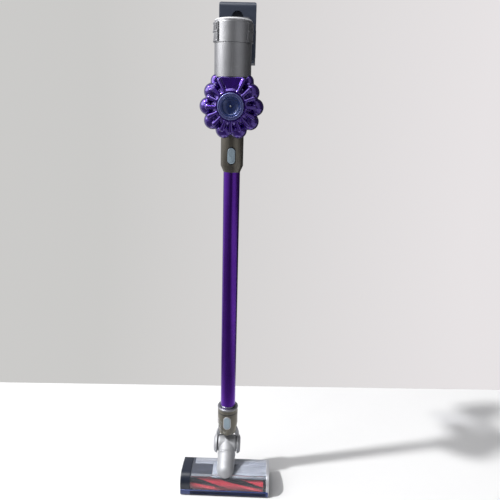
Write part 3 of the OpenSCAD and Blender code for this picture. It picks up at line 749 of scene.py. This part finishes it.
def neck_pieces():
    """The elbow's barrel and stub, the bullet with its ring lines, and the neck's collar with its ears."""
    start, ahead = bullet_frame()
    left_end, right_end = arc(15, -17.3, 5.5, -90, 0, 8), arc(15, 17.3, 5.5, 0, 90, 8)
    barrel = lathe(scaled([(0, -22.8)] + left_end + right_end + [(0, 22.8)]), 96, closed=False)
    barrel.transform(turn_matrix(start, (1, 0, 0)))
    stub = lathe(scaled([(0, 0), (20.4, 0), (20.4, 25.6), (0, 25.6)]), 96, closed=False)
    stub.transform(turn_matrix(start, ahead))
    ball = capsule(start, start + ahead * 0.1 * MM, 21.2 * MM, 21.2 * MM, 64)
    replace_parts(add("elbow_barrel", melted([barrel, stub, ball], 0.0007, 4), "elbow", "silver_plastic", 60,
                    "satin_silver"), "elbow")
    pins = [cylinder_x(side * 20, side * 28, 4.9, 0, YOKE_Z) for side in (-1, 1)]
    piece_of("elbow_pins", pins, "elbow", "steel", 0.2)
    foot_ring = [(0, 26), (19.4, 26)] + arc(20.4, 26.9, 0.9, -90, 0, 4)
    foot_ring += [(21.3, 28.2)] + arc(20.6, 28.4, 0.7, 0, 90, 4)
    ring_lines = [(20.3, 29.3), (20.1, 29.9), (20.5, 30.6), (20.5, 33.2), (20.2, 33.5), (20.5, 33.8),
                  (20.5, 48)]
    nose_arc = arc(0, 66, 20.5, 0, 88, 22) + [(0, 86.5)]
    body = lathe(scaled(foot_ring + ring_lines + nose_arc), 96, closed=False)
    body.transform(turn_matrix(start, ahead))
    nose = carved(body, head_prism(-0.15, -45, 45))
    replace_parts(add("bullet", nose, "head", "silver_plastic", 40, "satin_silver"), "neck_bullet")
    outside = [(13.2, 113), (18.2, 113), (19.4, 114), (23.5, 139), (23.7, 141), (23.6, 168), (23.5, 181)]
    inside = [(17.7, 181), (17.7, 168), (16.4, 168), (16.4, 138), (13.2, 136)]
    collar = lathe(scaled(outside + inside), 128)
    collar.transform(Matrix.Translation(at(0, 0, 0)))
    for recess in (pill_block(150, 18, 36, -30, -21), pill_block(150, 15, 31, -22, -19)):
        collar = carved(collar, recess)
    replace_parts(add("neck_body", collar, "neck", "bronze_plastic", 35), "neck_collar")
    ears = []
    for side in (-1, 1):
        profile = [(5.1, 23.6), (21.6, 23.6), (22.6, 24.4)] + arc(13.6, 23.0, 9.0, 8, 90, 8) + [(5.1, 32)]
        ear = lathe(scaled(profile), 96)
        ear.transform(turn_matrix(at(0, 0, YOKE_Z), (side, 0, 0)))
        ears.append(ear)
        ears.append(hull_of([at(side * x, y, z) for x, y, z in (
            (24, 1, 88), (24, 14, 88), (28.5, 1, 90), (28.5, 14, 90), (14, 0, 116), (14, 12, 116),
            (22.5, 0, 121), (22.5, 10, 121), (24.5, 0, 105), (24.5, 14, 105), (27.5, 1, 103),
            (27.5, 13, 103))]))
    add("neck_ears", melted(ears, 0.0006, 3), "neck", "silver_plastic", 60, "satin_silver")


def cylinder_x(x0, x1, r, y, z):
    length = abs(x1 - x0)
    mesh = lathe(scaled([(0, 0), (r, 0), (r, length), (0, length)]), 48, closed=False)
    mesh.transform(turn_matrix(at(min(x0, x1), y, z), (1, 0, 0)))
    return mesh


def roof(inset, first=0, last=None):
    """Side outline (depth, height) of the head's roof, from its rear edge over the top and down the front."""
    r = 24 - inset
    back = [(-4 - inset, 36 - inset), (-8, 40 - inset), (-14, 41.6 - inset), (-34, 46 - inset),
            (-48, 47.1 - inset)]
    return (back + arc(-62, 24, r, 90, 180, 18))[first:last]


def prism_x(outline, x0, x1):
    """A solid along X from a closed side outline of (depth, height) in millimetres."""
    return between([[at(x, y, z) for y, z in outline] for x in (x0, x1)])


def head_prism(inset, x0, x1):
    """The head's outline as a solid, smaller by inset."""
    return prism_x([(-4 - inset, 1.5 + inset)] + roof(inset) + [(-86 + inset, 1.5 + inset)], x0, x1)


def liner(first, last, inset, thick, x0, x1):
    """A sheet under the roof, along part of its outline, from the point numbered first up to last."""
    outer, inner = roof(inset, first, last), roof(inset + thick, first, last)
    return prism_x(outer + inner[::-1], x0, x1)


def bristles():
    """Four broad helical rows of bristle tufts round the brush bar."""
    axis = at(0, BRUSH_Y, BRUSH_Z)
    bm = bmesh.new()
    rng = random.Random(11)
    first, last, turns = -79, 88, math.radians(150)
    for row in range(4):
        for step in range(84):
            x = first + (last - first) * step / 83
            lead = math.tau * row / 4 + turns * (x - first) / (last - first)
            for across in range(8):
                angle = lead + math.radians((across - 3.5) * 5.4) + rng.uniform(-0.02, 0.02)
                out = Vector((0, math.cos(angle), math.sin(angle)))
                side = Vector((0, -math.sin(angle), math.cos(angle)))
                foot = axis + Vector((x * MM, 0, 0)) + out * 12.6 * MM
                lean = side * rng.uniform(-0.4, 0.4) * MM + Vector((rng.uniform(-0.3, 0.3) * MM, 0, 0))
                tip = axis + Vector((x * MM, 0, 0)) + out * rng.uniform(18.9, 19.7) * MM + lean
                rings = [[bm.verts.new(p + (side * math.cos(a) + Vector((1, 0, 0)) * math.sin(a)) * w * MM)
                          for a in (math.tau * n / 5 for n in range(5))]
                         for p, w in ((foot, 0.8), (tip, 1.15))]
                bm.faces.new(rings[1])
                for k in range(5):
                    bm.faces.new((rings[0][k], rings[0][(k + 1) % 5], rings[1][(k + 1) % 5], rings[1][k]))
    mesh = bpy.data.meshes.new("tufts")
    bm.to_mesh(mesh)
    bm.free()
    return add("brush_tufts", mesh, "brush", "red_bristle", 30)


def head_pieces():
    """The pale cover and ribbed band under the clear roof, a dark drive cover under the roof's left part that
    is partly the dark interior and partly painted shade and reflection, the bumper and the brush.
    """
    left, drive_end, right = -79.8, -30, 95.8
    piece_of("roof_cover", [liner(0, 4, 2.4, 1.2, -74, right)], "head", "silver_plastic", 0.2, "pale_plastic")
    ribs = [liner(row, row + 2, 2.4, 0.6, drive_end, right) for row in (4, 7)]
    band = [liner(3, 10, 3.0, 1.2, drive_end, right)]
    piece_of("roof_band", band + ribs, "head", "silver_plastic", 0.2, "satin_silver")
    # dark under the clear roof's left part: partly the dark drive interior, partly painted shade and
    # reflection
    drive = [liner(0, 4, 2.4, 1.2, left, -74.4), liner(3, 13, 3.0, 1.2, left, drive_end - 0.4)]
    piece_of("drive_cover_and_painted_shade", drive, "head", "dark_plastic", 0.2, "cap_plastic")
    piece_of("window_strip", [liner(10, 14, 2.8, 1.2, drive_end, right)], "head", "grey_plastic", 0.2)
    piece_of("window_lip", [liner(13, 15, 2.4, 2.0, left, right)], "head", "dark_plastic", 0.2)
    bumper_side = [(-84.2, 2.2), (-88, 2.2), (-88.2, 4), (-88.2, 11.5), (-87.6, 13.4), (-86.2, 14),
                   (-84.2, 14)]
    piece_of("bumper", [prism_x(bumper_side, -102.4, 101)], "head", "cap_blue", 0.5)
    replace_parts(bristles(), "brush_bristles")


# ---------------------------------------------------------------- small details all over

def button_pill(name, body, z, front, width, height, slot, bezel_body, bezel, bezel_look=None):
    """An oval button with a raised grip, and the bezel round it. front is how far from the wand's axis the
    bezel's face, the back of both, and the button's face are."""
    bezel_face, back, pad_face = front
    rim = pill_ring(z, width + 0.3, height + 0.3, width + bezel, height + bezel, bezel_face, back)
    piece_of(name + "_bezel", [rim], bezel_body, "silver_plastic", 0.4, bezel_look)
    pad = piece_of(name + "_pad", [pill_block(z, width, height, pad_face, back)], body, slot, 1.1)
    grip = pill_block(z - height / 2 + 9.5, width - 6.5, width - 5, pad_face - 0.25, pad_face + 0.4)
    piece_of(name + "_grip", [grip], body, slot, 0.2)
    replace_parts(pad, name.replace("release", "button"))


def pill_outline(width, height, steps=14):
    """An upright oval with straight sides, as points (across, up) about its middle."""
    r = width / 2
    top = [(r * math.cos(a), (height - width) / 2 + r * math.sin(a)) for a in
           (math.pi * k / steps for k in range(steps + 1))]
    return top + [(-x, -z) for x, z in top]


def pill_block(z, width, height, near, far):
    """An oval block in front of the wand's axis, between two depths."""
    return between([[at(x, y, z + h) for x, h in pill_outline(width, height)] for y in (near, far)])


def pill_ring(z, w0, h0, w1, h1, near, far):
    """A frame between two ovals, in front of the wand's axis."""
    inner = [[at(x, y, z + h) for x, h in pill_outline(w0, h0)] for y in (near, far)]
    outer = [[at(x, y, z + h) for x, h in pill_outline(w1, h1)] for y in (near, far)]
    loops = [inner[0], outer[0], outer[1], inner[1]]
    count = len(inner[0])
    faces = []
    for k in range(4):
        a, b = loops[k], loops[(k + 1) % 4]
        faces += [[a[n], a[(n + 1) % count], b[(n + 1) % count], b[n]] for n in range(count)]
    return solid(faces)


def bands_z(name, rows, body, slot, width=0.25):
    """Rings round the wand's axis: (inner radius, outer radius, low, high) each, in millimetres."""
    meshes = []
    for r0, r1, z0, z1 in rows:
        ring = lathe([(r0 * MM, z0 * MM), (r1 * MM, z0 * MM), (r1 * MM, z1 * MM), (r0 * MM, z1 * MM)], 96)
        ring.transform(Matrix.Translation(at(0, 0, 0)))
        meshes.append(ring)
    return piece_of(name, meshes, body, slot, width)


def wand_details():
    """The rings and release buttons of the wand and the neck, and slanting ridges on the neck's side."""
    bands_z("collar_ring", [(23.0, 23.45, 812, 817.5)], "wand", "dark_plastic")
    bands_z("wand_foot", [(17.2, 17.5, 186, 189)], "wand", "steel")
    bands_z("neck_rim", [(17.7, 23.9, 180.4, 184.6)], "neck", "silver_plastic", 0.9)
    bands_z("neck_band", [(23.3, 23.75, 170, 172)], "neck", "dark_plastic")
    # the wand button's frame is dark to stand in for the shade of the recess round it: painted shade
    button_pill("wand_release", "wand_button", 773, (-23.6, -21.2, -24.9), 14.8, 32, "button_blue",
                "wand", 2.2, "dark_plastic")
    button_pill("neck_release", "neck_button", 150, (-24.6, -21.4, -24.8), 14.5, 30, "button_blue",
                "neck", 3.4, "pale_plastic")
    ridges = [capsule(at(-21.6, -10.6, low + 6.5), at(-13.2, -20.1, low), 0.7 * MM, 0.5 * MM, 10)
              for low in range(128, 156, 7)]
    piece_of("neck_ridges", ridges, "neck", "silver_plastic", 0)


def spring_coils(node, foot, r, wire, height, turns):
    """A wire coil standing on +Z from foot."""
    bm = bmesh.new()
    steps, around = turns * 24, 8
    rings = []
    for k in range(steps + 1):
        a = math.tau * turns * k / steps
        middle = Vector((r * math.cos(a), r * math.sin(a), wire + (height - 2 * wire) * k / steps))
        out = Vector((math.cos(a), math.sin(a), 0))
        sides = [out * math.cos(b) + Vector((0, 0, 1)) * math.sin(b)
                 for b in (math.tau * n / around for n in range(around))]
        rings.append([bm.verts.new(foot + (middle + side * wire) * MM) for side in sides])
    bm.faces.new(rings[0][::-1])
    bm.faces.new(rings[-1])
    for low, high in zip(rings, rings[1:]):
        for n in range(around):
            bm.faces.new((low[n], low[(n + 1) % around], high[(n + 1) % around], high[n]))
    mesh = bpy.data.meshes.new(node + "_coil")
    bm.to_mesh(mesh)
    bm.free()
    piece = add(node + "_coil", mesh, "cleaner", "steel", 80)
    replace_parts(piece, node)
    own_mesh(piece)


def springs():
    """The coils under the power button and behind the trigger."""
    spring_coils("power_spring", at(0, -20, 1004), 5.5, 0.45, 11.6, 5)
    spring_coils("trigger_spring", at(0, 38, 965.8), 3.0, 0.35, 6.2, 4)


def dock_details():
    """Screw heads, seams and ribs on the dock and the battery, and grip ribs on the handle."""
    heads = []
    screw = [(0, 0), (2.4, 0), (2.4, 1.2), (4.6, 1.4), (4.6, 2.6), (3.6, 3.6), (1.8, 3.9), (1.8, 2.4),
             (0, 2.4)]
    for z in (975, 1055):
        mesh = lathe(scaled(screw), 40, closed=False)
        mesh.transform(turn_matrix(at(0, 145.2, z), (0, -1, 0)))
        heads.append(mesh)
    piece_of("wall_screw_heads", heads, "dock", "steel", 0.15)
    ribs = [box_mesh(at(side * 39.9, 104 + 5 * k, 972), at(side * 40.8, 106.4 + 5 * k, 1026))
            for side in (1, -1) for k in range(4)]
    piece_of("dock_side_ribs", ribs, "dock", "dock_plastic", 0.3)
    grips = [box_mesh(at(side * 16.9, 30 + 4 * k, 972), at(side * 17.5, 31.8 + 4 * k, 990))
             for side in (-1, 1) for k in range(11)]
    piece_of("handle_grip_ribs", grips, "cleaner", "dark_plastic", 0.2)
    seam = [box_mesh(at(-31.3, 85, 1008), at(31.3, 127.2, 1009.2))]
    piece_of("battery_seam", seam, "cleaner", "dark_plastic", 0.1)


# ---------------------------------------------------------------- the pieces

motor_details()
filter_face()
neck_pieces()
head_pieces()
wand_details()
springs()
dock_details()
flower = add("cyclone_flower", cyclone_skin(), "cleaner", "purple_lacquer", 60)
for node in ("outer_cyclones", "inner_cyclones", "air_duct"):
    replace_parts(flower, node)

# ---------------------------------------------------------------- round-edged copies of plainer CAD pieces

# how far each piece's edges are rounded, in millimetres
ROUNDED = {
    "dock_cover": 2.2, "dock_cradle": 1.5, "dock_back": 0.6, "motor_housing": 0.6, "handle_left": 0.6,
    "handle_right": 0.6, "battery_case": 1.2, "battery_light": 0.3, "power_button": 0.8, "trigger": 1.2,
    "bin_release": 1.0, "inlet_duct": 0.6, "bin_tube": 0.5, "bin_door": 0.8, "wand_tube": 0.3,
    "wand_collar": 0.7, "head_base": 0.6, "rear_duct": 0.4, "rear_wheels": 0.8,
}
for node, width in ROUNDED.items():
    shell(node, width * MM)
shell("left_end_cap", 1.6 * MM, look="cap_plastic")
shell("right_end_cap", 1.2 * MM, look="pale_plastic")
shell("head_window", 0.5 * MM, look="hazy_plastic")
